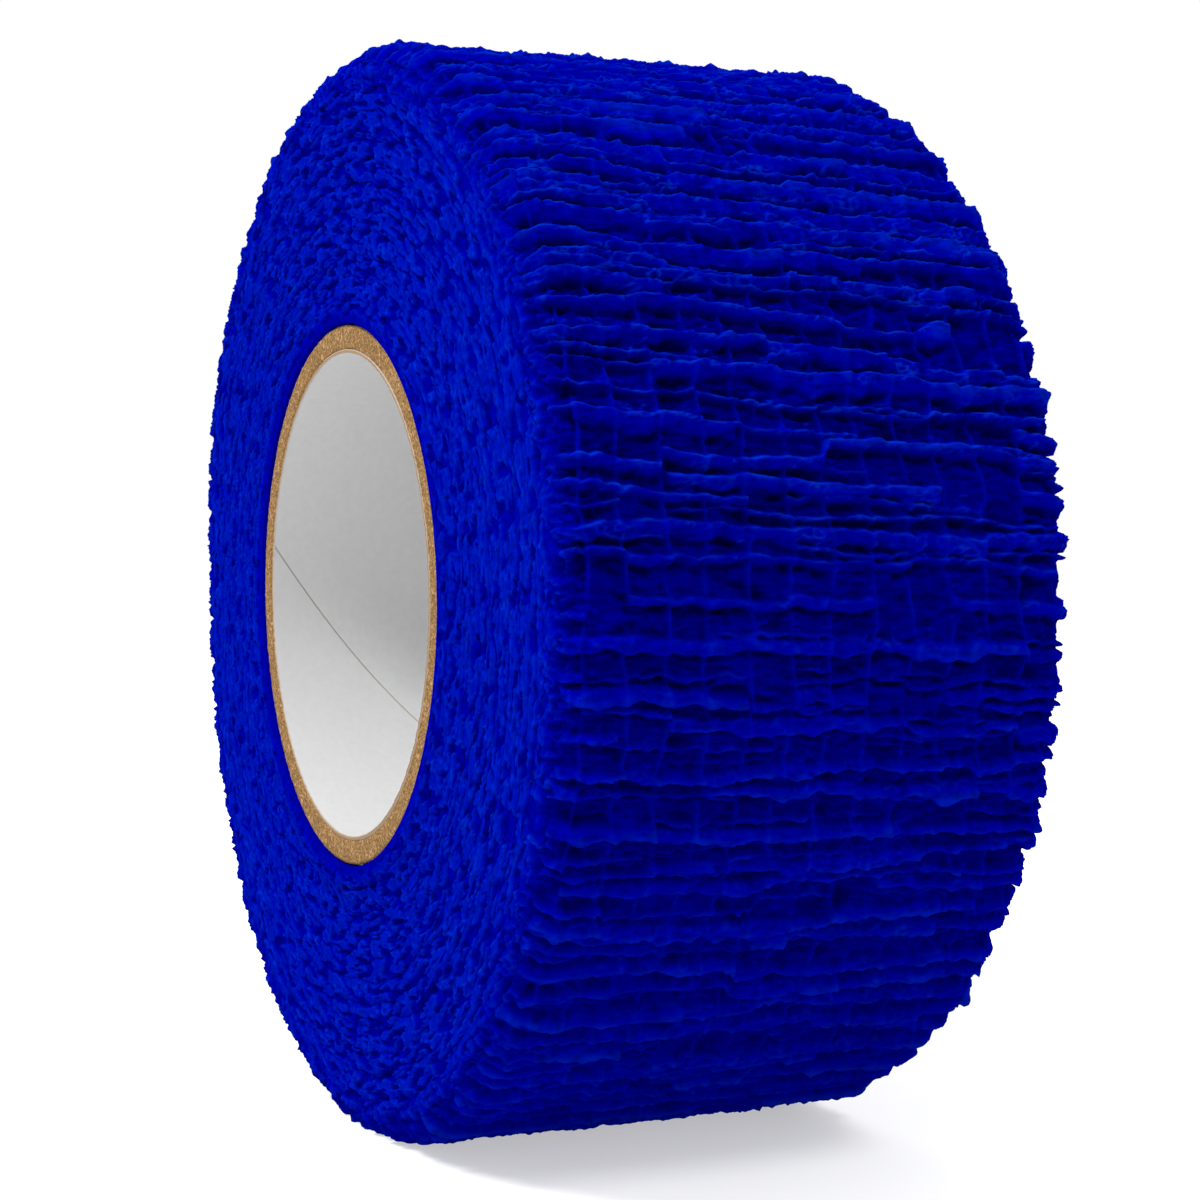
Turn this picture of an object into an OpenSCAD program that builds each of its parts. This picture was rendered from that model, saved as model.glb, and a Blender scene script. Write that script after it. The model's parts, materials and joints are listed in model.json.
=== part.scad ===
// Roll of self-gripping elastic hand wrap on a paper core.
// The roll's axis lies along Y. The origin is the middle of the bore, half way along it.
// Z points up, and the roll stands on the small flat that its own weight presses into it.
// The strip winds outwards anticlockwise as seen from the front, which is the -Y face.

/* [Paper core] */
// Inside diameter of the core
bore_d = 38.1; // [25.4:0.1:60]
// How far the core stands proud of the strip at each end
core_proud = 0.25; // [0:0.05:1]
// Thickness of the white paper liner in the bore
liner_t = 0.3; // [0.15:0.05:0.6]
// Thickness of one kraft ply
ply_t = 0.6; // [0.3:0.05:1.2]
// Glue line between one ply and the next
glue_line = 0.03; // [0.02:0.01:0.08]
// Length along the core in which a ply's seam would go once round it
seam_lead = 87; // [60:1:300]
// Gap between the two edges of a ply where they meet at its seam
seam_gap = 0.15; // [0.1:0.05:1]
// Angle round the front face at which the liner's seam starts
seam_start = 171; // [0:1:359]

/* [Strip] */
// Width of the strip
strip_w = 38.1; // [20:0.1:100]
// Thickness of one nonwoven web, folds included
web_t = 0.6; // [0.3:0.05:1.2]
// Thickness of the web's own cloth, at the bottom of a fold
cloth_t = 0.3; // [0.1:0.05:0.3]
// Distance from one fold to the next on the turns that show
fold_step = 2.3; // [1.5:0.1:6]
// Gap between one turn and the turn below it
turn_gap = 0.25; // [0.15:0.05:0.6]
// Gap between the core and the first turn
core_gap = 0.2; // [0.16:0.02:0.5]
// Number of turns, the last one broken off where the free end stops
turns = 12; // [4:1:24]
// Depth of the flat that the roll's weight presses into its underside
foot_depth = 0.4; // [0.1:0.05:0.5]

/* [Elastic threads] */
// Number of threads side by side across the strip
thread_n = 13; // [5:1:13]
// Width of a thread
thread_w = 0.45; // [0.2:0.05:1]
// Thickness of a thread
thread_t = 0.25; // [0.1:0.05:0.6]
// Clearance between a thread and the web on each side of it
thread_gap = 0.05; // [0.04:0.01:0.1]

/* [Starting glue] */
// Length of the glue film that holds the strip's first edge to the core
film_l = 14; // [5:1:30]
// Thickness of the film
film_t = 0.1; // [0.05:0.01:0.14]

/* [Free end] */
// Angle round the roll at which the free end is peeled back
peel_angle = 135; // [110:1:150]
// Length of the free end
tail_l = 30; // [12:1:42]
// Slit between the free end's stretches, and between them and the roll
peel_gap = 0.2; // [0.1:0.05:0.4]

/* [Hidden] */
$fn = 96;
thin_fn = 360;
kraft = "#9e7852";
white = "#d9d9d6";
blue = "#0a1fa8";
thread_blue = "#0a1575";
glue_colour = "#d8c9a0";

// The core, from the bore outwards
bore_r = bore_d / 2;
PLIES = 3;
liner_r = bore_r + liner_t;
core_r = liner_r + PLIES * (glue_line + ply_t);
function ply_r(i) = liner_r + glue_line + i * (ply_t + glue_line);
function seam_turn(i) = seam_start + i * 360 / (PLIES + 1);
seam_slices = 24;
core_w = strip_w + 2 * core_proud;

// How far a cut runs past what it cuts, and the fan that cuts a sector out of a ring
cut_over = 1;
sector_reach = 2;
sector_corners = 5;

// The strip, as two webs with the threads between them
thread_space = thread_t + 2 * thread_gap;
strip_t = 2 * web_t + thread_space;
outer_web_at = web_t + thread_space;
thread_at = web_t + thread_gap;
thread_step = strip_w / thread_n;
function thread_y(i) = (i - (thread_n + 1) / 2) * thread_step;

// The winding is a spiral of half turns. Even ones fill the right half and are centred on the
// bore. Odd ones fill the left half and are centred half a pitch lower, so that each half turn
// ends where the next one begins, half a pitch further out.
pitch = strip_t + turn_gap;
first_r = core_r + core_gap;
last_half = 2 * turns - 1;
function turn_r(k) = first_r + k * pitch / 2;
function turn_centre(k) = k % 2 == 0 ? [0, 0] : [0, -pitch / 2];
function turn_from(k) = k % 2 == 0 ? -90 : 90;
foot_z = foot_depth - turn_r(last_half - 1) - strip_t;
function foot_arc(k) = acos(1 - foot_depth / (turn_r(k) + strip_t));

// One fold as steps along it, each with the share of the fold's depth reached there
FOLD = [[0, 0], [0.3, 0.1], [0.45, 1], [0.85, 0.8]];
fold_depth = web_t - cloth_t;
first_shown = last_half - 2;

// The free end, as stretches that hinge on the strip's outer face
TAIL = ["tail_root", "tail_middle", "tail_tip"];
tail_r = turn_r(last_half);
hinge_r = tail_r + strip_t;
function arc_of(length, r) = length / r * 180 / PI;
gap_arc = arc_of(peel_gap / 2, hinge_r);
tail_step = arc_of(tail_l, hinge_r) / len(TAIL);
function tail_from(i) = peel_angle + i * tail_step + gap_arc;
function tail_to(i) = peel_angle + (i + 1) * tail_step - (i < len(TAIL) - 1 ? gap_arc : 0);

function two_digits(i) = str(i < 10 ? "0" : "", i);
function thread_name(i) = str("elastic_thread_", two_digits(i));

// Turns a shape drawn round Z so that its axis is the roll's, with its top to the front
module on_roll_axis() {
    rotate([90, 0, 0]) children();
}

// Flat outline of a ring between two radii and two angles no more than 180 degrees apart
module ring_sector(r_in, r_out, from, to) {
    reach = sector_reach * r_out;
    fan = [for (i = [0:sector_corners]) from + (to - from) * i / sector_corners];
    intersection() {
        difference() {
            circle(r_out);
            circle(r_in);
        }
        polygon(concat([[0, 0]], [for (a = fan) reach * [cos(a), sin(a)]]));
    }
}

// The same outline with its outer edge in folds, each a crest that falls away to a hollow
module folded_sector(r_in, r_out, from, to) {
    folds = max(1, round((to - from) / arc_of(fold_step, r_out)));
    rim = [
        for (i = [0:folds - 1], f = FOLD)
            let (a = from + (to - from) * (i + f[0]) / folds)
                (r_out - fold_depth * f[1]) * [cos(a), sin(a)]
    ];
    difference() {
        polygon(concat([[0, 0]], rim, [r_out * [cos(to), sin(to)]]));
        circle(r_in, $fn = thin_fn);
    }
}

// Flat outline of one layer of the strip over a stretch of half turn k
module layer_arc(k, depth, t, from, to) {
    translate(turn_centre(k))
        ring_sector(turn_r(k) + depth, turn_r(k) + depth + t, from, to);
}

// Flat outline of the outer web over a stretch of half turn k that shows
module folded_arc(k, from, to) {
    translate(turn_centre(k))
        folded_sector(turn_r(k) + outer_web_at, turn_r(k) + strip_t, from, to);
}

// Flat outline of one layer of the strip, from its first edge to half turn end
module wound_outline(depth, t, end) {
    for (k = [0:end])
        layer_arc(k, depth, t, turn_from(k), turn_from(k) + 180);
}

// One layer of the strip, from its first edge to the peel line
module wound_layer(depth, t, w) {
    on_roll_axis()
        linear_extrude(height = w, center = true)
            union() {
                wound_outline(depth, t, last_half - 1);
                layer_arc(last_half, depth, t, turn_from(last_half), peel_angle - gap_arc);
            }
}

// One layer of stretch i of the free end
module tail_layer(i, depth, t, w) {
    on_roll_axis()
        linear_extrude(height = w, center = true)
            layer_arc(last_half, depth, t, tail_from(i), tail_to(i));
}

// The slanting slit where the two edges of a spirally wound ply meet
module ply_seam(r, t, start) {
    h = core_w + 2 * cut_over;
    turn = 360 * h / seam_lead;
    rotate([0, 0, start + turn - 360 * cut_over / seam_lead])
        linear_extrude(height = h, center = true, twist = turn, slices = seam_slices, $fn = 4)
            translate([r - t / 2, -seam_gap / 2])
                square([2 * t, seam_gap]);
}

// One paper ply of the core, with its seam
module ply(r, t, start) {
    on_roll_axis()
        difference() {
            cylinder(r = r + t, h = core_w, center = true);
            cylinder(r = r, h = core_w + 2 * cut_over, center = true);
            ply_seam(r, t, start);
        }
}

module core_liner() {
    color(white) ply(bore_r, liner_t, seam_turn(0));
}

module core_ply_inner() {
    color(kraft) ply(ply_r(0), ply_t, seam_turn(1));
}

module core_ply_middle() {
    color(kraft) ply(ply_r(1), ply_t, seam_turn(2));
}

module core_ply_outer() {
    color(kraft) ply(ply_r(2), ply_t, seam_turn(3));
}

// Film of glue under the strip's first edge
module start_glue() {
    r = core_r + (core_gap - film_t) / 2;
    color(glue_colour)
        on_roll_axis()
            linear_extrude(height = strip_w, center = true)
                ring_sector(r, r + film_t, turn_from(0), turn_from(0) + arc_of(film_l, r));
}

module strip_inner_web() {
    color(blue) wound_layer(0, web_t, strip_w);
}

// The outer web is the face that shows. Its folds stand up on the turns that show, and the
// roll's weight presses them flat underneath.
module strip_outer_web() {
    side = 2 * (hinge_r + pitch);
    color(blue)
        difference() {
            on_roll_axis()
                linear_extrude(height = strip_w, center = true)
                    union() {
                        wound_outline(outer_web_at, web_t, first_shown - 1);
                        for (k = [first_shown:last_half - 1])
                            folded_arc(k, turn_from(k), turn_from(k) + 180);
                        folded_arc(last_half, turn_from(last_half), peel_angle - gap_arc);
                        layer_arc(first_shown, outer_web_at, web_t, 270 - foot_arc(first_shown), 270);
                        layer_arc(last_half - 1, outer_web_at, web_t, -90, foot_arc(last_half - 1) - 90);
                    }
            translate([0, 0, foot_z - side / 2]) cube(side, center = true);
        }
}

module elastic_thread(i) {
    color(thread_blue)
        translate([0, thread_y(i), 0])
            wound_layer(thread_at, thread_t, thread_w);
}

module tail_inner_web(i) {
    color(blue) tail_layer(i, 0, web_t, strip_w);
}

module tail_outer_web(i) {
    color(blue)
        on_roll_axis()
            linear_extrude(height = strip_w, center = true)
                folded_arc(last_half, tail_from(i), tail_to(i));
}

module tail_threads(i) {
    color(thread_blue)
        for (j = [1:thread_n])
            translate([0, thread_y(j), 0])
                tail_layer(i, thread_at, thread_t, thread_w);
}

core_liner();
core_ply_inner();
core_ply_middle();
core_ply_outer();
start_glue();
strip_inner_web();
strip_outer_web();
for (i = [1:thread_n])
    elastic_thread(i);
for (i = [0:len(TAIL) - 1]) {
    tail_inner_web(i);
    tail_outer_web(i);
    tail_threads(i);
}
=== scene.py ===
import json
import math
from collections import namedtuple

import bpy
import numpy as np
from mathutils import Matrix, Vector


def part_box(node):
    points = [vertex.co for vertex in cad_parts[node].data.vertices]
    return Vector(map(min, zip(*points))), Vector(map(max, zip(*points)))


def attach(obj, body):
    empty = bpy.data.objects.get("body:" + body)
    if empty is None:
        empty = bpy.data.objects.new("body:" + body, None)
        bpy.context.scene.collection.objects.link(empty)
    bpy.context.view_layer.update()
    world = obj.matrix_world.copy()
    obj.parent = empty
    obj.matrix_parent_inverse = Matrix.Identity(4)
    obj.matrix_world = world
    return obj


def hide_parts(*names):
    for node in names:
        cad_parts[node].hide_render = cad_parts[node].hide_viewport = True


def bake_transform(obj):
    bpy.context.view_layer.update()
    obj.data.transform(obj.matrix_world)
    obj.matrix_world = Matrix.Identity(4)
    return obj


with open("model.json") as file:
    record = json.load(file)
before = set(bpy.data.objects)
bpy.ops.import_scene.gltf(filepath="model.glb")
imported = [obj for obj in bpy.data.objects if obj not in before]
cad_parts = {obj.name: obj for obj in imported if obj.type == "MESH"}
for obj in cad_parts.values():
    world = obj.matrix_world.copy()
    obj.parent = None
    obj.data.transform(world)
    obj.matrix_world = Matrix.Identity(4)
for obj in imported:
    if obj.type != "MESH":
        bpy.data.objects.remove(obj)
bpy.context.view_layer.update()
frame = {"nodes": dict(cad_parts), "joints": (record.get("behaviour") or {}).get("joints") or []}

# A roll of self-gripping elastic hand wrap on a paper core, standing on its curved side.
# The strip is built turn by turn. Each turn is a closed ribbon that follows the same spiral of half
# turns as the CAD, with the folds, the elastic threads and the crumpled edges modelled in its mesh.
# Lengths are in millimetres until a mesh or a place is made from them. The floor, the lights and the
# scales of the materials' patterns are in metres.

MM = 0.001


def box_mm(node):
    """Lowest and highest corner of a CAD piece's box."""
    low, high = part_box(node)
    return low / MM, high / MM


# ---------------------------------------------------------------- camera

CAMERA_AZIMUTH = 65.6      # degrees from the front, -Y, towards +X
CAMERA_ELEVATION = 2.06    # degrees
CAMERA_DISTANCE = 207.5    # from the bore's middle
CAMERA_ACROSS = 2.2        # how far it is moved to its own right
CAMERA_UP = -0.7           # and up
LENS = 75.57
SENSOR = 36.0
CLIP = (1, 20000)          # nearest and furthest that it sees


def add_camera():
    """A camera at the photograph's angle, which sees the roll's front end and its curved right side."""
    a, e = math.radians(CAMERA_AZIMUTH), math.radians(CAMERA_ELEVATION)
    back = Vector((math.sin(a) * math.cos(e), -math.cos(a) * math.cos(e), math.sin(e)))
    right = (-back).cross(Vector((0, 0, 1))).normalized()
    up = right.cross(-back)
    data = bpy.data.cameras.new("camera")
    data.lens, data.sensor_width = LENS, SENSOR
    data.clip_start, data.clip_end = (c * MM for c in CLIP)
    camera = bpy.data.objects.new("camera", data)
    bpy.context.scene.collection.objects.link(camera)
    place = (back * CAMERA_DISTANCE + right * CAMERA_ACROSS + up * CAMERA_UP) * MM
    turn = Matrix((right, up, back)).transposed().to_4x4()
    camera.matrix_world = Matrix.Translation(place) @ turn
    bpy.context.scene.camera = camera


add_camera()

# ---------------------------------------------------------------- the spiral

TURN = 2               # half turns in a turn
PITCH = 1.8            # from one turn to the next
CORE_GAP = 0.2         # between the core and the first turn
TURN_GAP = 0.25        # between one turn's strip and the next one's
WHOLE_HALVES = 23      # half turns before the last, broken-off one
OUTER_FROM = 21        # half turns to where the strip's outer face starts to show
TAIL_FROM = 23         # and to where the free end's pieces start

core_high = box_mm("core_ply_outer")[1]
web_low, web_high = box_mm("strip_outer_web")
CORE_R = core_high.x
FIRST_R = CORE_R + CORE_GAP
WIDTH = web_high.y - web_low.y
STRIP_T = PITCH - TURN_GAP
FOOT_Z = web_low.z
BORE_R = 19.05         # of a 1.5 in bore
CORE_PROUD = 0.6       # how far the core's rings reach out past the CAD core, to the crumpled edges
CORE_END = core_high.y + CORE_PROUD


def half_of(p):
    """Number of whole half turns before p."""
    return np.minimum(np.floor(p), WHOLE_HALVES)


def spiral(p):
    """Centre height, inner radius and angle of the strip, p half turns along it."""
    k = half_of(p)
    odd = k % TURN
    angle = np.pi * (p - k) + np.where(odd == 1, np.pi / 2, -np.pi / 2)
    return -odd * PITCH / 2, FIRST_R + k * PITCH / 2, angle


def along(p):
    """Length of strip from its start to p half turns."""
    k = half_of(p)
    middle = FIRST_R + STRIP_T / 2
    return np.pi * (middle * k + PITCH / 4 * k * (k - 1) + (p - k) * (middle + k * PITCH / 2))


def halves_at(joint):
    """Where a hinge of the free end lies, in half turns along the strip."""
    x, _, z = (c / MM for c in joint["pos_m"])
    return WHOLE_HALVES + (math.atan2(z + PITCH / 2, x) - math.pi / 2) / math.pi


HINGES = [halves_at(j) for j in frame["joints"]]
PEEL = HINGES[0]
TAIL_STEP = HINGES[1] - HINGES[0]
TAIL_END = PEEL + 3 * TAIL_STEP
TIP_SHARE = 0.3        # share of its thickness that the pressed-down tip has left
TIP_TAPER = 0.11       # half turns over which it thins

# stretches, in half turns along the strip, over which something changes near its end
FACE_SHOWS = (TAIL_END - 2.32, TAIL_END - 2.24)    # its outer face gets its folds, soon before it shows
GAP_OPENS = (TAIL_END - 2, TAIL_END - 1.98)        # it gets its own thickness, with nothing lying on it
PRESS_ENDS = (TAIL_END - 2, TAIL_END - 1.97)       # its folds are no longer pressed flat by the free end
PEEL_STARTS = (PEEL - 0.05, PEEL)                  # its hollows get shallower, on the free end


def step(low, high, x):
    """Smooth step from 0 at low to 1 at high."""
    t = np.clip((x - low) / (high - low), 0, 1)
    return t * t * (3 - 2 * t)


def fullness(p):
    """Share of its thickness that the strip has left, less than 1 near its tip."""
    return 1 - (1 - TIP_SHARE) * step(TAIL_END - TIP_TAPER, TAIL_END, p)


def turns_over(p):
    """Number of turns that lie over the strip."""
    return np.maximum(np.ceil((TAIL_END - p) / TURN) - 1, 0)


def cover(p):
    """Thickness of the turns that lie over the strip."""
    over = turns_over(p)
    outermost = PITCH * fullness(p + TURN * over)
    return np.where(over > 0, PITCH * (over - 1) + outermost, 0)


# ---------------------------------------------------------------- noise

TABLE = 1024
SEED_STEP = 57         # how far apart in the table two seeds start
NOISE_GAIN = 1.6       # brings the noise to about -1 to 1
draws = np.random.default_rng(7)
ORDER = draws.permutation(TABLE)
SLOPES = draws.uniform(0, 2 * np.pi, TABLE)
SLOPE_X, SLOPE_Y = np.cos(SLOPES), np.sin(SLOPES)


def noise(x, y, seed=0, around=TABLE):
    """Smooth gradient noise that repeats along x after `around` units."""
    x, y = np.broadcast_arrays(x, y)
    i, j = np.floor(x).astype(int), np.floor(y).astype(int)
    u, v = x - i, y - j

    def corner(di, dj):
        at = ORDER[(ORDER[((i + di) % around + SEED_STEP * seed) % TABLE] + j + dj) % TABLE]
        return SLOPE_X[at] * (u - di) + SLOPE_Y[at] * (v - dj)

    su, sv = (t * t * t * (t * (6 * t - 15) + 10) for t in (u, v))
    low = corner(0, 0) * (1 - su) + corner(1, 0) * su
    high = corner(0, 1) * (1 - su) + corner(1, 1) * su
    return NOISE_GAIN * (low * (1 - sv) + high * sv)


def bump(x, width):
    """A bell of height 1 at x = 0."""
    return np.exp(-((x / width) ** 2))


# ---------------------------------------------------------------- surface relief

THREADS = 13           # elastic threads across the strip
THREAD_W = 0.2         # half the width of a thread's line
CREST = 0.22           # how far a crest stands above the strip's mean outer face
FLOOR = -0.6           # height of the hollows between the folds
DEEPEST = -1.3         # lowest height of the strip's outer face
BELOW_ALL = -9.0       # height of a fold where there is none
CREVICE = 0.58         # depth of the deepest crevices at the folds' feet
LEAN = 0.16            # how far back along the strip a fold leans, for each mm of its height
CORNER_R = 2.7         # how round the roll's outer corners are
CORNER_HIGHER = 0.15   # how much higher the folds stand by those corners, as a share
FOLD_APART = (2.2, 4.1)         # from one main fold to the next
FOLD_REACH = (-4, 2.5)          # how far before and past its place a fold may shape the face
MEAN_R = CORE_R + 12 * PITCH    # of the roll's outermost turn
CROWDED = 0.28         # share by which the folds lie closer at the roll's top and in its lower half
SKEW = 0.025           # how far the folds run down towards the back, for each mm
SKEW_TOP = 0.05        # and how much further near the roll's top
# For each kind of fold: the range of how far behind its main fold it lies, the share of main folds that
# have one, the share of its parts that are left out, how far its crest lies below a main one's, and the
# range of how wide it is.
Fold = namedtuple("Fold", "behind share flat lower width")
FOLD_KINDS = [
    Fold(behind=(0, 0), share=1.0, flat=0.1, lower=0.0, width=(0.6, 1.6)),
    Fold(behind=(1.0, 2.0), share=0.85, flat=0.35, lower=0.28, width=(0.45, 0.8)),
    Fold(behind=(0.5, 2.8), share=0.8, flat=0.45, lower=0.42, width=(0.25, 0.45)),
]
JOG_SHARE = 0.42       # share of the spaces between threads where a fold changes
JOG = 0.3              # spread of how far it jogs there
JOG_KEPT = 0.4         # share of the last jog that it keeps
DRIFT = 0.07           # spread of how far it drifts from one space to the next
TOP_SPREAD = 0.12      # spread of its height
FLAT_TOP = -2.0        # its height where it is left out, below the hollows
SMOOTHING = [3, 5, 9, 15]       # map cells over which its changes are rounded
MAP_CELL = 0.08        # spacing of the map of the strip's outer face
MAP_ROUND = 8          # how far the map goes on round each corner
MAP_HALF = WIDTH / 2 - CORNER_R + MAP_ROUND
MAP_FROM = along(OUTER_FROM) - 1


def upright_at(s):
    """1 at the roll's top, 0 halfway up and -1 at its foot, s along the strip's last turn."""
    return np.sin((s - along(TAIL_FROM)) / MEAN_R + np.pi / 2)


def by_corner(y):
    """0 over the middle of the strip's face, 1 at its edges and round the corners."""
    return step(0.75, 1, np.abs(y) * 2 / WIDTH)


def thread_column(s, y):
    """Place across the strip, counted in threads, with some wander."""
    wander = 0.2 * noise(s / 5, y / 6, 1) + 0.06 * noise(s / 1.6, y / 3, 47)
    return (y / WIDTH + 0.5) * THREADS - 0.5 + wander


def fold_row(rng, y, seed, kind):
    """Crest line, band width and top of one row of folds, which jogs or breaks off at the threads."""
    # the fold is drawn anew in some of the spaces between threads, and its changes are then rounded
    cell = np.floor(thread_column(seed * 2.7, y)).astype(int)
    cell = cell - cell.min()
    offset, width, top = 0.0, 1.0, CREST
    cells = []
    for _ in range(cell.max() + 1):
        if rng.random() < JOG_SHARE:
            offset = JOG_KEPT * offset + rng.normal(0, JOG)
            width = rng.uniform(*kind.width)
            top = CREST - kind.lower + rng.normal(0, TOP_SPREAD)
            if rng.random() < kind.flat:
                top = FLAT_TOP
        cells.append((offset, width, top))
        offset += rng.normal(0, DRIFT)
    size = rng.choice(SMOOTHING)
    kernel = np.hanning(size + 2)[1:-1]
    kernel = kernel / kernel.sum()
    smooth = [np.convolve(np.pad(v[cell], size // 2, "edge"), kernel, "valid") for v in np.array(cells).T]
    offset, width, top = smooth
    cusps = 0.3 * np.abs(noise(y / 1.7, seed, 41)) + 0.04 * noise(y / 0.5, seed, 42)
    crest = offset + 0.4 * noise(y / 6, seed, 40) + cusps
    width = width * (1 + 0.35 * noise(y / 1.6, seed, 43))
    top = top + 0.14 * noise(y / 1.5, seed, 44) + 0.05 * noise(y / 0.7, seed, 45)
    return crest, width, top


def fold_places(rng, end):
    """Place along the strip and kind of each fold, and how upright and how low on the roll it lies."""
    places, at = [], MAP_FROM
    while at < end:
        upright = upright_at(at)
        low_side = 1 - step(-0.3, 0.15, upright)
        at += rng.uniform(*FOLD_APART) * (1 - CROWDED * max(abs(upright), low_side))
        for kind in FOLD_KINDS:
            if rng.random() < kind.share:
                places.append((at - rng.uniform(*kind.behind), kind, upright, low_side))
    return places


def fold_height(below, width, top, y, near, seed, low_side):
    """Height of one fold, a distance `below` its crest line and `near` a thread."""
    higher = CORNER_HIGHER * by_corner(y)
    nub = bump(near, 0.28) * np.clip(0.5 + noise(y / 2.5, seed, 13), 0, 1.3)
    spike = np.clip(noise(y / 1.6, seed, 14) - 0.4 + higher, 0, 1) * (1 + higher)
    peak = top + (0.2 * nub + 0.75 * spike) * bump(below - 0.15, 0.5)
    # the band falls away below its crest, or rises to its lower edge on the roll's lower half
    band = np.clip(below / width, 0, 1)
    upper_way = 0.08 * step(0, 0.22, below) + 0.14 * band + 0.26 * band**2
    lower_way = 0.45 * (1 - band) ** 1.5
    fold = peak - upper_way * (1 - low_side) - lower_way * low_side
    # and drops steeply on both sides
    fold = fold - 5 * np.clip(below - width, 0, 9)
    return fold - 1.1 * np.clip(-below / 0.22, 0, 9) ** 1.3


def crevice(below, width, present, y, seed, upright, low_side):
    """Depth of the crevice along a fold's foot."""
    deep = np.clip(0.5 + 1.1 * noise(y / 2.2, seed, 46), 0, 1) * present
    reach = 0.13 + 0.15 * (1 - low_side)
    deep = deep * (1 - 0.6 * step(0.6, 0.95, upright))
    return CREVICE * deep * bump(below - width - reach, reach)


def painted_fold_highlight(below, width, present, y, seed, low_side):
    """Painted highlight along a fold: on its crest, or on its lower edge on the roll's lower half."""
    light = bump(below, 0.12) * (1 - low_side) + bump(below - width + 0.08, 0.12) * low_side
    return light * np.clip(0.6 + 0.9 * noise(y / 2, seed, 23), 0, 1) * present


def fold_lace(below, present, y, seed):
    """Share of open, lace-like crinkle above and on a fold's crest."""
    open_work = step(-1.15, -0.8, below) * (1 - step(0.2, 0.5, below)) * present
    return open_work * np.clip(0.5 + 1.1 * noise(y / 2.8, seed, 62), 0, 1)


def face_map():
    """Height and painted highlights of the strip's outer face: overlapping folds held together by threads.
    """
    rng = np.random.default_rng(5)
    s = np.arange(MAP_FROM, along(TAIL_END) + 2, MAP_CELL)[:, None]
    y = np.arange(-MAP_HALF, MAP_HALF, MAP_CELL)
    wrinkle = np.abs(noise(s / 0.75, y / 2.0, 9)) + 0.6 * np.abs(noise(s / 0.4, y / 1.1, 22)) - 0.45
    floor = FLOOR + 0.22 * noise(s / 4, y / 4, 7) - 0.35 * step(0.1, 0.6, noise(s / 1.3, y / 2.3, 8))
    floor = floor + 0.36 * wrinkle
    height = np.full(floor.shape, BELOW_ALL)
    lip = np.zeros(floor.shape)
    lace = np.zeros(floor.shape)
    column = thread_column(s, y)
    off = column - np.round(column)
    near = np.abs(off) * WIDTH / THREADS
    # each fold lies over those drawn before it where it is higher
    for seed, (place, kind, upright, low_side) in enumerate(fold_places(rng, s[-1, 0])):
        crest, width, top = fold_row(rng, y, seed + 0.5, kind)
        width = width * (0.75 + 0.3 * max(upright, 0) - 0.12 * low_side)
        crest = crest - y * (SKEW + SKEW_TOP * step(-0.2, 0.5, upright))
        low, high = (int((place + reach - MAP_FROM) / MAP_CELL) for reach in FOLD_REACH)
        rows = slice(max(low, 0), max(high, 0))
        below = place + crest - s[rows]
        fold = fold_height(below, width, top, y, near[rows], seed, low_side)
        present = np.clip(top + 1, 0, 1)
        floor[rows] -= crevice(below, width, present, y, seed, upright, low_side)
        lace[rows] = np.maximum(lace[rows], fold_lace(below, present, y, seed))
        over = fold > height[rows]
        height[rows] = np.where(over, fold, height[rows])
        lip[rows] = np.where(over, painted_fold_highlight(below, width, present, y, seed, low_side), lip[rows])
    lip = np.where(height > floor, lip, 0)
    height = np.maximum(height + 0.12 * wrinkle, floor) * (1 + CORNER_HIGHER * by_corner(y))
    # fine veins run over and behind the crests, round small pits; they are raised a little and get a
    # painted highlight near the crests' height
    swirl = noise(s / 0.62, y / 1.15, 63) + 0.35 * noise(s / 0.3, y / 0.5, 64)
    vein = bump(swirl, 0.17)
    height = height + lace * (0.09 * vein - 0.16 * step(0.25, 0.6, swirl))
    lip = np.maximum(lip, 0.85 * lace * vein * step(-0.75, -0.25, height))
    # the threads bridge the hollows, with a finer one between each two
    strength = np.clip(0.8 + 0.8 * noise(s / 3, y / 3, 12), 0.2, 1)
    raised = np.maximum(-0.3 - height, 0.07) * bump(near, THREAD_W) * strength
    between = (0.5 - np.abs(off)) * WIDTH / THREADS
    finer = np.clip(0.2 + 1.3 * noise(s / 5, np.floor(column), 24), 0, 1)
    raised = raised + np.maximum(-0.42 - height, 0.05) * bump(between, 0.7 * THREAD_W) * finer
    height = height + raised + 0.03 * noise(s / 0.5, y / 0.5, 15)
    # the painted highlight is weaker low on the roll, where less light falls from above, and the threads
    # get a faint painted highlight of their own
    lip = lip * (0.4 + 0.6 * step(-0.3, 0.45, upright_at(s)))
    return height, np.maximum(lip, 0.22 * bump(near, THREAD_W) * strength)


FACE_MAP = face_map()


def face_relief(s, y):
    """Height and painted highlights at places on the strip's outer face."""
    u, v = np.broadcast_arrays((s - MAP_FROM) / MAP_CELL, (y + MAP_HALF) / MAP_CELL)
    rows, columns = FACE_MAP[0].shape
    i, j = np.clip(np.floor(u).astype(int), 0, rows - 2), np.clip(np.floor(v).astype(int), 0, columns - 2)
    fu, fv = np.clip(u - i, 0, 1), np.clip(v - j, 0, 1)

    def read(values):
        low = values[i, j] * (1 - fu) + values[i + 1, j] * fu
        high = values[i, j + 1] * (1 - fu) + values[i + 1, j + 1] * fu
        return low * (1 - fv) + high * fv

    return read(FACE_MAP[0]), read(FACE_MAP[1])


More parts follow.
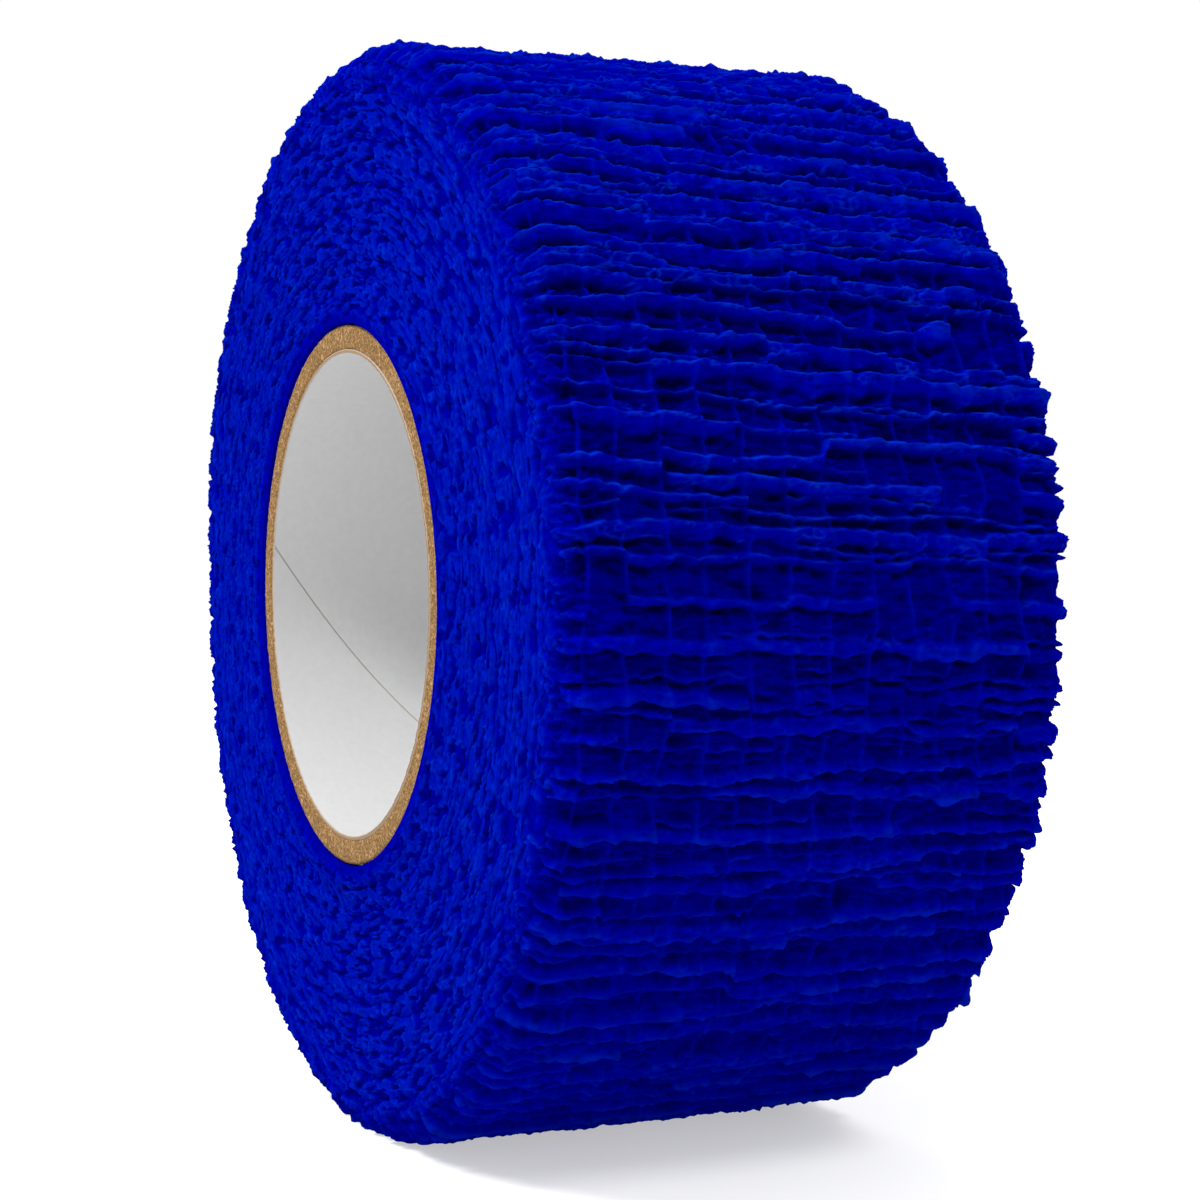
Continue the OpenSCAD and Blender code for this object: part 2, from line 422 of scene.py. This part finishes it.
def edge_relief(angle, a, seed):
    """Height and painted highlights of the crumpled edge, a mm in from where the roll's corner starts."""
    round_share = angle / (2 * np.pi)

    def grain(count, size, n):
        return noise(round_share * count, a / size, seed + n, count)

    # worm-like ridges with short, sharp slits between them, larger and ruffled towards the corner
    ruffled = 1 - step(2.5, 6.0, a + grain(60, 3, 8))
    worm = grain(84, 0.72, 0) + 0.2 * grain(170, 0.4, 1)
    rim = bump(worm + 0.05, 0.1)
    pit = step(0, 0.24, worm)
    wave = np.abs(grain(250, 1.3, 3) + 0.45 * grain(400, 0.6, 4))
    crest = bump(wave, 0.1)
    lumps = 0.06 * grain(110, 1.2, 5) + 0.04 * grain(240, 0.6, 6)
    fine = 0.3 + 0.1 * rim - 0.33 * pit + lumps
    rough = 0.47 - 1.4 * np.minimum(wave, 0.5) + lumps
    fade = np.clip(0.75 + 0.7 * grain(90, 2, 10), 0.2, 1)
    # painted highlight on the worms' rims and on the ruffles' crests, less of it in the pits
    fine_highlight = 0.13 + 0.42 * rim * fade - 0.13 * pit
    rough_highlight = 0.08 + 0.55 * crest * fade
    return fine + (rough - fine) * ruffled, fine_highlight + (rough_highlight - fine_highlight) * ruffled


# ---------------------------------------------------------------- ribbons

QUARTER = CORNER_R * math.pi / 2        # length of the round of a corner
FRONT, BACK = -1, 1    # the side of each of the strip's edges along y
EDGE_FLARE = {FRONT: 0.35, BACK: 1.02}      # how far the crumpled edges spread past the strip's width
BACK_PRESSED = 1.1     # how much less far the back edge does at the roll's top and bottom
BESIDE_CORE = 1.15     # how far both edges do beside the core
AWAY_FROM_CORE = (0.4, 3.6)     # distances from it over which they come back to their own spread
FLAT_BY_CORE = 1.0     # how far from the core their crumples are pressed flat
FLAT_DEPTH = 0.12      # how deep they are there
FLAT_HIGHLIGHT = 0.1         # how much painted highlight they have there
EDGE_GROOVE = 0.3      # depth of the groove between one turn's edge and the next one's
GROOVE_W = 0.13        # its width, as a share of a turn
FACE_ROUND = {FRONT: (1.2, 4.4), BACK: (3.4, 6.4)}  # where the face's folds fade out round each corner
RAGGED = 1.1           # how far that limit strays
PRESSED_HIGH = 0.05    # how high the folds stand where a turn lies on them
FREE_HIGH = 3          # how much higher they may stand elsewhere
FREE_SHALLOWER = 0.45  # how much shallower the free end's hollows are, as a share
INNER_SHIFT = 40       # how far back along the strip its inner face's folds are taken from
INNER_SHARE = 0.4      # how high they are, as a share
INNER_LIMITS = (-0.3, 0.06)     # lowest and highest that they may be
SKIN = 0.04            # kept between two turns where neither shows
CORE_FILM = 0.17       # between the core and the first turn, for the glue
CELL_ALONG = 0.11      # spacing of the mesh along the strip where its face shows
CELL_HIDDEN = 0.14     # along it elsewhere
CELL_ACROSS = 0.14     # across its face
CELL_EDGE = 0.13       # across its edges
LEAST_EDGE_ROWS = 10   # rows of the mesh across an edge, at least
HIDDEN_ROWS = 4        # and across a face that doesn't show
EDGE_SEEDS = {FRONT: 100, BACK: 200}


def corner_profile(a):
    """Depth, inset and outward direction, a mm inwards from where the corner starts."""
    bend = np.minimum(a, QUARTER) / CORNER_R
    depth = CORNER_R * (1 - np.cos(bend)) + np.maximum(a - QUARTER, 0)
    return depth, CORNER_R * (1 - np.sin(bend)), np.cos(bend), -np.sin(bend)


def corner_length(depth):
    """How far round the corner a depth below the roll's outside lies."""
    bend = np.arccos(np.clip(1 - depth / CORNER_R, 0, 1))
    return CORNER_R * bend + np.maximum(depth - CORNER_R, 0)


def boundary(p):
    """How far the line between a turn and the next one strays from the spiral."""
    inside = step(0, 0.3, p) * step(0, 1, cover(p))
    return inside * (0.16 * noise(along(p) / 2.1, 0.5, 30) + 0.14 * noise(along(p) / 7, 0.5, 31))


def flare_at(sign, angle):
    """How far an edge spreads past the strip's width, at an angle round the roll."""
    return EDGE_FLARE[sign] - BACK_PRESSED * (sign == BACK) * np.sin(angle) ** 2


def floor_radius(p, centre, inner_r, angle):
    """Inner radius of the strip, let down to the core under the first turn."""
    reach = CORE_R + CORE_FILM
    to_core = np.sqrt(reach**2 - (centre * np.cos(angle)) ** 2) - centre * np.sin(angle)
    return np.where(p < TURN, to_core, inner_r)


class Stretch:
    """Where a stretch of strip lies, for each p half turns along it.

    s is the length of strip before it, top the thickness of the turns over it, and full the share of its
    own thickness that it has left.
    """

    def __init__(self, p):
        self.p = p[:, None]
        self.s = along(self.p)
        self.centre, inner_r, self.angle = spiral(self.p)
        self.top = cover(self.p)
        self.full = fullness(self.p)
        thick = (PITCH - TURN_GAP * step(*GAP_OPENS, self.p)) * self.full
        self.outer_r = inner_r + thick
        self.bottom_r = floor_radius(self.p, self.centre, inner_r, self.angle)


# One part of the way round the strip: radius, place along y, height of its relief, its painted highlights,
# how far it leans, its place across the pattern, and how strong the painted slit shade is on it.
Part = namedtuple("Part", "r y relief lip lean across slit")


def edge_parts(at):
    """The crumpled front edge and back edge of a stretch."""
    first, last = corner_length(at.top), corner_length(at.top + at.outer_r - at.bottom_r)
    rows = max(LEAST_EDGE_ROWS, int((last - first).max() / CELL_EDGE))
    inward = np.linspace(0, 1, rows)[None, ::-1]
    a = first + (last - first) * inward
    depth, inset, out, side = corner_profile(a)
    radius = at.outer_r - depth + at.top
    wander = boundary(at.p) * (1 - inward) + boundary(at.p - TURN) * inward
    # a groove along each side of the turn, but for the roll's outside and the side next to the core
    groove = bump(inward, GROOVE_W) * step(0, 0.5, at.top)
    groove = groove + bump(1 - inward, GROOVE_W) * step(0, 1, at.p - 1.9)
    groove = groove * (0.3 + 0.7 * step(2.5, 5, a))
    outermost_s = along(at.p + TURN * turns_over(at.p))
    ragged = RAGGED * noise(outermost_s / 1.8, a / 1.5, 90)
    from_core = np.hypot(radius * np.cos(at.angle), at.centre + radius * np.sin(at.angle)) - CORE_R
    away = step(*AWAY_FROM_CORE, from_core)
    by_core = bump(from_core, FLAT_BY_CORE)

    def edge(sign):
        seed = EDGE_SEEDS[sign]
        open_up = np.clip(0.4 + 0.9 * noise(at.s / 2.6, inward + seed, seed + 9), 0, 1.3)
        relief, lip = edge_relief(at.angle, a, seed)
        relief = (relief - groove * EDGE_GROOVE * open_up) * (1 - by_core) - FLAT_DEPTH * by_core
        across = sign * (WIDTH / 2 - CORNER_R + a)
        # the folds of the roll's outside go on round its corners
        facing = 1 - step(*FACE_ROUND[sign], a + ragged)
        if facing.max() > 0:
            face_h, face_highlight = face_relief(outermost_s, across)
            face_h = np.clip(face_h * at.full, DEEPEST, FREE_HIGH)
            relief, lip = relief + (face_h - relief) * facing, lip + (face_highlight - lip) * facing
        flare = BESIDE_CORE + (flare_at(sign, at.angle) - BESIDE_CORE) * away
        return Part(
            r=radius + wander + out * relief,
            y=sign * (WIDTH / 2 + flare - inset - side * relief),
            relief=relief,
            lip=lip + (FLAT_HIGHLIGHT - lip) * by_core,
            lean=relief * facing,
            across=across + 0 * relief,
            slit=(1 - facing) * (1 - by_core) * (0.3 + 0.7 * step(2, 5, a)),
        )

    return edge(FRONT), Part(*(values[:, ::-1] for values in edge(BACK)))


def face_part(at, rows):
    """The outer face of a stretch, with its folds where it shows."""
    reach = WIDTH / 2 - corner_profile(corner_length(at.top))[1]
    share = np.linspace(0, 1, rows + 2)[None, 1:-1]
    pattern_y = reach * (2 * share - 1)
    y = pattern_y - flare_at(FRONT, at.angle) * (1 - share) + flare_at(BACK, at.angle) * share
    shown = step(*FACE_SHOWS, at.p)
    height, lip = 0 * y, 0 * y
    if shown.max() > 0:
        deepest = DEEPEST * (1 - FREE_SHALLOWER * step(*PEEL_STARTS, at.p)) * at.full
        highest = PRESSED_HIGH + FREE_HIGH * step(*PRESS_ENDS, at.p)
        height, lip = face_relief(at.s, pattern_y)
        height, lip = np.clip(height * at.full, deepest, highest) * shown, lip * shown
    r = at.outer_r + boundary(at.p) + height - SKIN * (1 - shown)
    return Part(r=r, y=y, relief=height, lip=lip, lean=height, across=y, slit=0 * y)


def under_part(at, rows):
    """The inner face of a stretch, with its folds where it shows."""
    y = WIDTH / 2 * np.linspace(1, -1, rows + 2)[None, 1:-1] + 0 * at.s
    height = 0 * y
    if rows > HIDDEN_ROWS:
        folds = face_relief(at.s - INNER_SHIFT, y)[0]
        height = np.clip(INNER_SHARE * folds, *INNER_LIMITS) * at.full
    r = at.bottom_r + boundary(at.p - TURN) + SKIN - height
    return Part(r=r, y=y, relief=height, lip=0 * height, lean=0 * height, across=y, slit=0 * y)


def ribbon_points(p, face_rows, under_rows):
    """Grid of points over a stretch of strip, one column for each p, and details for its material."""
    at = Stretch(p)
    front, back = edge_parts(at)
    parts = (front, face_part(at, face_rows), back, under_part(at, under_rows))
    way = Part(*(np.hstack(values) for values in zip(*parts)))
    angle = at.angle - LEAN * way.lean / way.r
    x = way.r * np.cos(angle)
    # the roll's foot is pressed flat by the floor
    z = np.maximum(at.centre + way.r * np.sin(angle), FOOT_Z)
    strip = np.stack([at.s + 0 * way.r, way.across, way.slit], axis=2)
    return np.stack([x, way.y, z], axis=2), {"relief": way.relief, "lip": way.lip, "strip": strip}


MAP_SHARE = 0.96       # share of the texture's width for the grid of an open mesh
CAP_STRIPS = (0.965, 0.985)     # where the strips for its two end caps start
CAP_STRIP_W = 0.01     # and how wide they are


def end_caps(rows, count):
    """Corners and map of the two fans that close an open grid.

    Their middles are the points added last, with the numbers count and count + 1. Their map is a strip for
    each of them on the right.
    """
    at = np.arange(rows)
    after, end = (at + 1) % rows, count - rows
    start_cap = np.stack([after, at, np.full(rows, count)], 1)
    end_cap = np.stack([end + at, end + after, np.full(rows, count + 1)], 1)
    uv = np.zeros((2, rows, 3, 2))
    for n, left in enumerate(CAP_STRIPS):
        uv[n, :, :, 0] = left + np.array([0, 0, CAP_STRIP_W])
        uv[n, :, :2, 1] = np.stack([at, at + 1], 1)[:, :: 1 if n else -1] / rows
        uv[n, :, 2, 1] = (at + 0.5) / rows
    return np.concatenate([start_cap.ravel(), end_cap.ravel()]), uv.ravel()


def grid_mesh(name, points, details, ring=False):
    """A closed mesh from a grid of points that wraps round across, and along too if a ring.

    The details are kept at its points for its material.
    """
    columns, rows = points.shape[:2]
    count = columns * rows
    i = np.arange(columns if ring else columns - 1)[:, None]
    j = np.arange(rows)[None, :]
    beyond, right = (i + 1) % columns, (j + 1) % rows
    quads = np.stack([i * rows + j, i * rows + right, beyond * rows + right, beyond * rows + j], 2)
    quads = quads.reshape(-1, 4)
    share = 1 if ring else MAP_SHARE
    u = np.stack([i + 0 * j, i + 0 * j, i + 1 + 0 * j, i + 1 + 0 * j], 2) / len(i) * share
    v = np.stack([j, j + 1, j + 1, j], 2) / rows + 0 * u
    vertices, uv, corners = points.reshape(-1, 3), np.stack([u, v], 3).reshape(-1), quads.ravel()
    sizes = np.full(len(quads), 4)
    if not ring:
        cap_corners, cap_uv = end_caps(rows, count)
        vertices = np.vstack([vertices, points[[0, -1]].mean(axis=1)])
        corners = np.append(corners, cap_corners)
        sizes = np.append(sizes, np.full(2 * rows, 3))
        uv = np.append(uv, cap_uv)
    mesh = bpy.data.meshes.new(name)
    mesh.vertices.add(len(vertices))
    mesh.vertices.foreach_set("co", (vertices * MM).ravel())
    mesh.loops.add(len(corners))
    mesh.loops.foreach_set("vertex_index", corners)
    mesh.polygons.add(len(sizes))
    mesh.polygons.foreach_set("loop_start", np.concatenate([[0], np.cumsum(sizes)[:-1]]))
    mesh.polygons.foreach_set("use_smooth", sizes == 4)
    mesh.uv_layers.new(name="OFBake").data.foreach_set("uv", uv)
    for detail, values in details.items():
        kind, field = ("FLOAT", "value") if values.ndim == 2 else ("FLOAT_VECTOR", "vector")
        kept = np.zeros((len(vertices), *values.shape[2:]), np.float32)
        kept[:count] = values.reshape(count, *values.shape[2:])
        mesh.attributes.new(detail, kind, "POINT").data.foreach_set(field, kept.ravel())
    mesh.update(calc_edges=True)
    mesh.validate()
    return mesh


def add_piece(mesh, material):
    """An object with this mesh and material, for the material slot of that name."""
    piece = bpy.data.objects.new(mesh.name, mesh)
    bpy.context.scene.collection.objects.link(piece)
    mesh.materials.append(material)
    return piece


def ribbon(name, start, end, face_rows=HIDDEN_ROWS, under_rows=HIDDEN_ROWS):
    """An object for the stretch of strip from start to end, in half turns."""
    length = along(np.array(end)) - along(np.array(start))
    cell = CELL_ALONG if face_rows > HIDDEN_ROWS else CELL_HIDDEN
    points, details = ribbon_points(np.linspace(start, end, int(length / cell)), face_rows, under_rows)
    piece = add_piece(grid_mesh(name, points, details), wrap_material)
    piece["strip_mm"] = float(length)
    return piece


# ---------------------------------------------------------------- the core's rings

RING_EDGE = 0.12       # how round the cut corners of the core's rings are
RING_GRAIN = 0.03      # how rough their cut ends are
RING_GRAINS = ((500, 0.25), (200, 0.5))  # number of grains round the ring, and size across it
RING_CELL = 0.12       # spacing of the mesh across their cut ends
RING_ROWS = 48         # rows of the mesh along the core
RING_INSET = 0.2       # how far inside the core's ends the first and last of them lie
RING_SEEDS = {"core_paper": 302, "core_board": 300}
PLY_GAP = 0.02         # between the paper liner and the board
SEAM_LEAD = 87         # length along the core in which the liner's seam would go once round
SEAM_START = 171       # degrees round from +X towards +Z, on the front end
SEAM_GAP = 0.1         # width of the seam's groove
SEAM_DEPTH = 0.1       # and its depth


def core_ring(name, inner_r, outer_r, seam_depth):
    """A paper ring as long as the core, its cut ends rough with fibre, with a slanted seam in its bore.

    The mesh's rows run slanted round the ring, so that its first row is the seam.
    """
    columns = int(2 * np.pi * CORE_R / CELL_HIDDEN)
    steps = max(5, int((outer_r - inner_r) / RING_CELL))
    across = np.linspace(inner_r, outer_r, steps)[None, :] + np.zeros((columns, 1))
    edge = min(RING_EDGE, (outer_r - inner_r) / 3)
    rounding = edge * (bump(across - inner_r, edge) + bump(outer_r - across, edge))
    gap = SEAM_GAP / inner_r
    angle = np.append(0, np.linspace(gap / 2, 2 * np.pi - gap / 2, columns - 1))[:, None]

    def cut_end(sign, grain_seed):
        around = angle / (2 * np.pi)
        rough = sum(noise(around * n, across / size, grain_seed, n) for n, size in RING_GRAINS)
        return sign * (CORE_END - rounding + RING_GRAIN * rough)

    front, back = cut_end(FRONT, RING_SEEDS[name]), cut_end(BACK, RING_SEEDS[name] + 1)
    flat = np.linspace(-1, 1, RING_ROWS)[None, :] * (CORE_END - RING_INSET) + 0 * angle
    y = np.hstack([front, flat, back[:, ::-1], -flat])
    bore_r = inner_r + 0 * flat
    bore_r[0] += seam_depth
    r = np.hstack([across, outer_r + 0 * flat, across[:, ::-1], bore_r])
    angle = angle + math.radians(SEAM_START) + 2 * np.pi * (y + core_high.y) / SEAM_LEAD
    points = np.stack([r * np.cos(angle), y, r * np.sin(angle)], axis=2)
    return grid_mesh(name, points, {}, ring=True)


# ---------------------------------------------------------------- materials


def greys(*stops):
    """Stops of a ramp from each place and shade of grey."""
    return [(at, (shade,) * 3) for at, shade in stops]


class Nodes:
    """Short names for building a material's node tree."""

    def __init__(self, name):
        self.material = bpy.data.materials.new(name)
        self.material.use_nodes = True
        self.tree = self.material.node_tree
        self.shader = self.tree.nodes["Principled BSDF"]
        self.place = self.add("ShaderNodeTexCoord").outputs["Object"]

    def add(self, kind, **settings):
        node = self.tree.nodes.new(kind)
        for key, value in settings.items():
            if key in node.inputs:
                node.inputs[key].default_value = value
            else:
                setattr(node, key, value)
        return node

    def link(self, out, into):
        self.tree.links.new(out, into)

    def feed(self, socket, out):
        """Link an output to a socket of the shader."""
        self.link(out, self.shader.inputs[socket])

    def put(self, socket, value):
        """Set a socket of the shader to a value that is the same all over the surface."""
        self.shader.inputs[socket].default_value = value

    def attribute(self, name, output="Fac"):
        return self.add("ShaderNodeAttribute", attribute_name=name).outputs[output]

    def stretched(self, vector, scale):
        """Places for a pattern, scaled by its own number along each axis."""
        mapping = self.add("ShaderNodeMapping", Scale=scale)
        self.link(vector, mapping.inputs["Vector"])
        return mapping.outputs["Vector"]

    def part(self, vector, axis):
        """One axis of a vector."""
        node = self.add("ShaderNodeSeparateXYZ")
        self.link(vector, node.inputs["Vector"])
        return node.outputs[axis]

    def noise(self, scale, detail=4, roughness=0.55, vector=None):
        node = self.add("ShaderNodeTexNoise", Scale=scale, Detail=detail, Roughness=roughness)
        self.link(vector or self.place, node.inputs["Vector"])
        return node.outputs["Fac"]

    def ramp(self, fac, stops):
        """Colour from a number, by stops of a place and a colour."""
        node = self.add("ShaderNodeValToRGB")
        elements = node.color_ramp.elements
        while len(elements) < len(stops):
            elements.new(0.5)
        for element, (at, colour) in zip(elements, stops):
            element.position = at
            element.color = (*colour, 1)
        self.link(fac, node.inputs["Fac"])
        return node.outputs["Color"]

    def mix(self, fac, a, b, blend="MIX"):
        """Mix of a and b by fac, each of them an output, a number or a colour."""
        node = self.add("ShaderNodeMix", data_type="RGBA", blend_type=blend)
        for value, socket in ((fac, node.inputs[0]), (a, node.inputs[6]), (b, node.inputs[7])):
            if isinstance(value, (int, float)):
                socket.default_value = value
            elif isinstance(value, tuple):
                socket.default_value = (*value, 1)
            else:
                self.link(value, socket)
        return node.outputs[2]

    def bump(self, height, distance, strength):
        """Fine bumps, up to a distance in mm."""
        node = self.add("ShaderNodeBump", Distance=distance * MM, Strength=strength)
        self.link(height, node.inputs["Height"])
        self.feed("Normal", node.outputs["Normal"])


def make_wrap_material():
    nodes = Nodes("wrap_fabric")
    relief, lip = nodes.attribute("relief"), nodes.attribute("lip")
    strip = nodes.attribute("strip", "Vector")
    # painted shade and highlight: blue by height, darker down in the hollows where shade falls, lighter
    # and greener up on the crests
    height = nodes.add("ShaderNodeMapRange", **{"From Min": DEEPEST, "From Max": CREST + 0.3})
    nodes.link(relief, height.inputs["Value"])
    painted_depth_shades = [
        (0.0, (0, 0, 0.06)),
        (0.4, (0, 0, 0.135)),
        (0.78, (0, 0.0002, 0.205)),
        (0.88, (0, 0.003, 0.222)),
        (0.95, (0, 0.0055, 0.235)),
    ]
    crinkle = nodes.noise(1.0, 4, 0.6, nodes.stretched(strip, (2.2, 0.7, 1)))
    cloud = nodes.ramp(crinkle, greys((0.36, 0.6), (0.5, 0.95), (0.66, 1.1)))
    colour = nodes.mix(1.0, nodes.ramp(height.outputs["Result"], painted_depth_shades), cloud, "MULTIPLY")
    # painted highlight: a lighter, greener blue along the crests, rims and threads
    highlight_shades = [(0.1, (0, 0.002, 0.31)), (0.35, (0, 0.008, 0.33)), (0.6, (0, 0.018, 0.345))]
    colour = nodes.mix(lip, colour, nodes.ramp(lip, highlight_shades))
    # painted shade: short dark slits between the crumples of the strip's edge, in colour only, with
    # painted highlights on their brims
    painted_slits = nodes.noise(1.0, 1.5, 0.5, nodes.stretched(strip, (0.5, 2.0, 0)))
    painted_slit_shades = [
        (0.35, (0.58, 0, 0.58)),
        (0.41, (1.02, 1.02, 1.02)),
        (0.47, (1.0, 1.7, 1.13)),
        (0.55, (1, 0.9, 1)),
    ]
    painted_slits = nodes.mix(nodes.part(strip, "Z"), (1.0, 1.0, 1.0), nodes.ramp(painted_slits, painted_slit_shades))
    colour = nodes.mix(1.0, colour, painted_slits, "MULTIPLY")
    nodes.feed("Base Color", colour)
    fibre = nodes.noise(5000, 4, 0.65)
    nodes.feed("Roughness", nodes.ramp(fibre, greys((0.3, 0.8), (0.7, 0.98))))
    nodes.bump(nodes.mix(0.35, crinkle, fibre), 0.25, 0.8)
    nodes.put("Specular IOR Level", 0.0)
    return nodes.material


def make_kraft_material():
    nodes = Nodes("kraft_board")
    grit = nodes.noise(6500, 3, 0.6)
    browns = [(0.35, (0.085, 0.042, 0.01)), (0.5, (0.17, 0.09, 0.026)), (0.65, (0.31, 0.18, 0.065))]
    base = nodes.ramp(grit, browns)
    patch = nodes.ramp(nodes.noise(500, 4), greys((0.3, 0.79), (0.7, 0.93)))
    base = nodes.mix(1.0, base, patch, "MULTIPLY")
    # paler specks of fibre
    speck = nodes.ramp(nodes.noise(3800, 2, 0.5), greys((0.56, 0), (0.72, 0.8)))
    nodes.feed("Base Color", nodes.mix(speck, base, (0.4, 0.235, 0.13)))
    nodes.feed("Roughness", nodes.ramp(grit, greys((0.3, 0.8), (0.7, 0.95))))
    nodes.bump(grit, 0.06, 0.6)
    nodes.put("Specular IOR Level", 0.15)
    return nodes.material


def make_paper_material():
    nodes = Nodes("liner_paper")
    grain = nodes.noise(1500, 5, 0.6)
    sheet = nodes.ramp(grain, [(0.3, (0.465, 0.465, 0.466)), (0.7, (0.5, 0.5, 0.501))])
    # the paper's cut ends are browner than its face
    normal = nodes.add("ShaderNodeNewGeometry").outputs["Normal"]
    endwise = nodes.add("ShaderNodeMath", operation="ABSOLUTE")
    nodes.link(nodes.part(normal, "Y"), endwise.inputs[0])
    nodes.feed("Base Color", nodes.mix(endwise.outputs[0], sheet, (0.2, 0.118, 0.05)))
    nodes.feed("Roughness", nodes.ramp(grain, greys((0.3, 0.6), (0.7, 0.75))))
    nodes.bump(grain, 0.01, 0.3)
    nodes.put("Specular IOR Level", 0.2)
    return nodes.material


def make_glue_material():
    nodes = Nodes("glue")
    streak = nodes.noise(1.0, 4, 0.6, nodes.stretched(nodes.place, (400, 1600, 400)))
    nodes.feed("Base Color", nodes.ramp(streak, [(0.3, (0.58, 0.46, 0.26)), (0.7, (0.74, 0.63, 0.42))]))
    nodes.feed("Roughness", nodes.ramp(streak, greys((0.3, 0.35), (0.7, 0.5))))
    nodes.bump(streak, 0.02, 0.4)
    return nodes.material


def paint(node, material):
    """Give a CAD piece that stays visible its material."""
    slots = frame["nodes"][node].data.materials
    slots.clear()
    slots.append(material)


wrap_material = make_wrap_material()
paint("start_glue", make_glue_material())
liner_r = box_mm("core_liner")[1].x
paper_mesh = core_ring("core_paper", BORE_R, liner_r, SEAM_DEPTH)
core_paper = add_piece(paper_mesh, make_paper_material())
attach(core_paper, "roll")
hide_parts("core_liner")
board_mesh = core_ring("core_board", liner_r + PLY_GAP, CORE_R, 0)
core_board = add_piece(board_mesh, make_kraft_material())
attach(core_board, "roll")
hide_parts("core_ply_inner", "core_ply_middle", "core_ply_outer")

# ---------------------------------------------------------------- the strip

FACE_ROWS = int((WIDTH - 2 * CORNER_R) / CELL_ACROSS)
MID_ROOT = PEEL + TAIL_STEP / 2
MID_MIDDLE = MID_ROOT + TAIL_STEP
BEND_HALVES = (MID_ROOT - PEEL) * 0.95  # how far past each hinge a second point on the free end is taken, in half turns
WHOLE_TURNS = 10       # turns that are each one piece


def declare(piece):
    """Return a stretch of strip unchanged."""
    return piece


def surface_point(p):
    """Place on the strip's outer face, p half turns along it, in metres."""
    centre, r, angle = (float(v) for v in spiral(np.array(p)))
    r += STRIP_T
    return Vector((r * math.cos(angle), 0, centre + r * math.sin(angle))) * MM


turns = [ribbon(f"wrap_turn_{i + 1:02d}", TURN * i, TURN * (i + 1)) for i in range(WHOLE_TURNS)]
turns.append(ribbon(f"wrap_turn_{WHOLE_TURNS + 1}", TURN * WHOLE_TURNS, OUTER_FROM))
turns.append(ribbon("wrap_turn_outer_left", OUTER_FROM, OUTER_FROM + 1, FACE_ROWS))
turns.append(ribbon("wrap_turn_outer_right", OUTER_FROM + 1, TAIL_FROM, FACE_ROWS))
for piece in turns:
    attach(piece, "roll")
    declare(piece)
threads = [f"elastic_thread_{i:02d}" for i in range(1, THREADS + 1)]
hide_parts("strip_inner_web", *threads)
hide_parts("strip_outer_web")

tail_spans = [
    ("free_end_root", TAIL_FROM, MID_ROOT, "roll", "tail_root"),
    ("free_end_middle", MID_ROOT, MID_MIDDLE, "tail_root", "tail_middle"),
    ("free_end_tip", MID_MIDDLE, TAIL_END, "tail_middle", "tail_tip"),
]
for hinge, (name, start, end, before, after) in zip(HINGES, tail_spans):
    piece = ribbon(name, start, end, FACE_ROWS, FACE_ROWS)
    from_here = surface_point(hinge)
    to_here = surface_point(hinge + BEND_HALVES)
    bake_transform(piece)
    declare(piece)
    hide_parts(*(f"{after}_{part}" for part in ("inner_web", "outer_web", "threads")))

# ---------------------------------------------------------------- floor and light

FLOOR_HALF = 3.0       # half the floor's size
FLOOR_GLOW = 0.46      # keeps it nearly white
WORLD_STRENGTH = 1.0
# name, place, diameter and power of each light; all of them look at the bore's middle
LIGHTS = [
    ("key", (0, -0.5, 0.62), 0.25, 7.3),
    ("right", (0.48, 0.24, 0.6), 0.25, 3),
    ("front", (0.16, -0.8, 0.04), 0.3, 0.9),
]


def add_floor():
    """A plain pale floor."""
    mesh = bpy.data.meshes.new("floor")
    signs = ((-1, -1), (1, -1), (1, 1), (-1, 1))
    corners = [(x * FLOOR_HALF, y * FLOOR_HALF, FOOT_Z * MM) for x, y in signs]
    mesh.from_pydata(corners, [], [(0, 1, 2, 3)])
    floor = bpy.data.objects.new("floor", mesh)
    bpy.context.scene.collection.objects.link(floor)
    nodes = Nodes("floor")
    nodes.feed("Base Color", nodes.ramp(nodes.noise(4, 3), greys((0.3, 0.54), (0.7, 0.56))))
    nodes.put("Roughness", 0.9)
    nodes.put("Specular IOR Level", 0.0)
    nodes.put("Emission Color", (1, 1, 1, 1))
    nodes.put("Emission Strength", FLOOR_GLOW)
    mesh.materials.append(nodes.material)


def add_light(name, place, size, power):
    data = bpy.data.lights.new(name, "AREA")
    data.shape, data.size, data.energy = "DISK", size, power
    light = bpy.data.objects.new(name, data)
    light.location = place
    light.rotation_euler = (-Vector(place)).to_track_quat("-Z", "Y").to_euler()
    bpy.context.scene.collection.objects.link(light)


def add_lights():
    world = bpy.data.worlds.new("studio")
    bpy.context.scene.world = world
    world.use_nodes = True
    background = world.node_tree.nodes["Background"]
    background.inputs["Color"].default_value = (1, 1, 1, 1)
    background.inputs["Strength"].default_value = WORLD_STRENGTH
    for light in LIGHTS:
        add_light(*light)


add_floor()
add_lights()
bpy.context.scene.view_settings.view_transform = "Standard"
